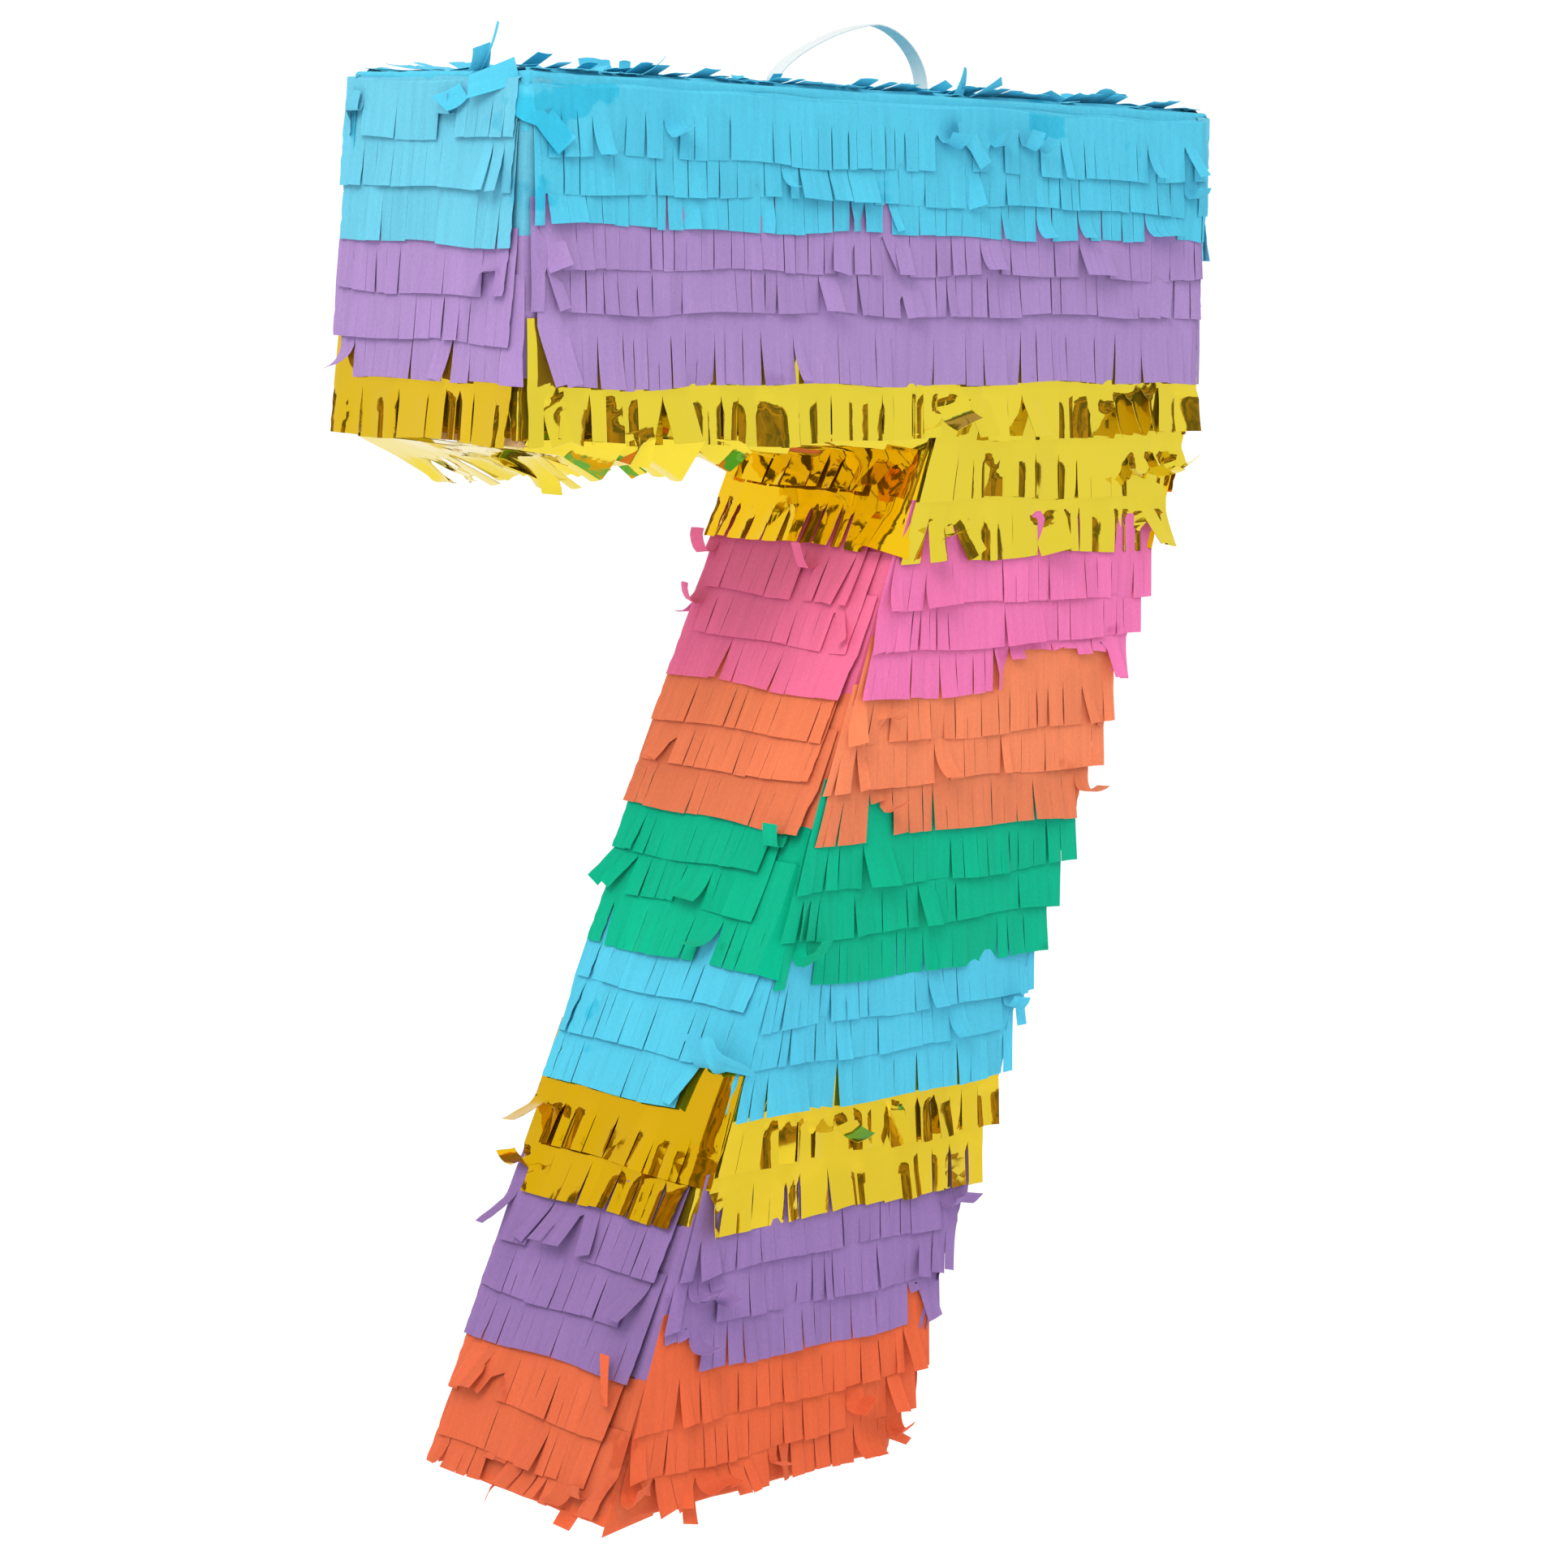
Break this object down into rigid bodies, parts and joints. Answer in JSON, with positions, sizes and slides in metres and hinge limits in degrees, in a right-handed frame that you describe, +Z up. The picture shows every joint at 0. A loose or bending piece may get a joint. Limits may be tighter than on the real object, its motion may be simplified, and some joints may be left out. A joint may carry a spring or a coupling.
{
  "type": "numeral pinata",
  "caption": "Hollow cardboard pinata in the shape of the numeral seven, covered in tiers of cut tissue and foil fringe, with a hanging ribbon loop and a filling flap in its back.",
  "frame": {"origin": "the underside of the hanging loop's crown, which a hook or a line bears on", "axes": "+X along the bar to the numeral's right as read from the front, +Y from the front to the back with the filling flap, +Z up along the pull of the hanging line"},
  "size_m": [0.2886, 0.0796, 0.4383],
  "materials": {
    "kraft_board": "matt kraft corrugated board",
    "paper_tape": "matt gummed paper tape",
    "ribbon": "satin curling ribbon",
    "tissue_blue": "matt crepe-textured tissue",
    "tissue_purple": "matt crepe-textured tissue",
    "tissue_pink": "matt crepe-textured tissue",
    "tissue_coral": "matt crepe-textured tissue",
    "tissue_green": "matt crepe-textured tissue",
    "tissue_red": "matt crepe-textured tissue",
    "gold_foil": "mirror-bright metallised film"
  },
  "bodies": {
    "hanger": {"ribbon_loop": "ribbon"},
    "casing": {"front_panel": "kraft_board", "back_panel": "kraft_board", "top_wall": "kraft_board", "bar_left_wall": "kraft_board", "bar_underside_wall": "kraft_board", "stem_left_wall": "kraft_board", "foot_wall": "kraft_board", "stem_right_wall": "kraft_board", "bar_right_wall": "kraft_board", "bar_strut": "kraft_board", "upper_stem_strut": "kraft_board", "lower_stem_strut": "kraft_board", "front_seam_tape": "paper_tape", "back_seam_tape": "paper_tape", "hanger_plate": "kraft_board", "ribbon_tails": "ribbon", "ribbon_knots": "ribbon", "front_upper_blue_fringe": "tissue_blue", "front_upper_purple_fringe": "tissue_purple", "front_upper_gold_fringe": "gold_foil", "front_pink_fringe": "tissue_pink", "front_coral_fringe": "tissue_coral", "front_green_fringe": "tissue_green", "front_lower_blue_fringe": "tissue_blue", "front_lower_gold_fringe": "gold_foil", "front_lower_purple_fringe": "tissue_purple", "front_red_fringe": "tissue_red", "back_upper_blue_fringe": "tissue_blue", "back_upper_purple_fringe": "tissue_purple", "back_upper_gold_fringe": "gold_foil", "back_pink_fringe": "tissue_pink", "back_coral_fringe": "tissue_coral", "back_green_fringe": "tissue_green", "back_lower_blue_fringe": "tissue_blue", "back_lower_gold_fringe": "gold_foil", "back_lower_purple_fringe": "tissue_purple", "back_red_fringe": "tissue_red", "side_upper_blue_fringe": "tissue_blue", "side_upper_purple_fringe": "tissue_purple", "side_upper_gold_fringe": "gold_foil", "side_pink_fringe": "tissue_pink", "side_coral_fringe": "tissue_coral", "side_green_fringe": "tissue_green", "side_lower_blue_fringe": "tissue_blue", "side_lower_gold_fringe": "gold_foil", "side_lower_purple_fringe": "tissue_purple", "side_red_fringe": "tissue_red", "top_fringe": "tissue_blue", "underside_fringe": "gold_foil", "foot_fringe": "tissue_red"},
    "flap": {"fill_flap": "kraft_board", "flap_blue_fringe": "tissue_blue", "flap_purple_fringe": "tissue_purple"}
  },
  "joints": [
    {"name": "casing_swing", "type": "hinge", "parent": "hanger", "child": "casing", "pos_m": [0, 0, -0.01755], "axis": [1, 0, 0], "range_deg": [-60, 60]},
    {"name": "flap_hinge", "type": "hinge", "parent": "casing", "child": "flap", "pos_m": [-0.08395, 0.0365, -0.04825], "axis": [1, 0, 0], "range_deg": [0, 100]}
  ]
}
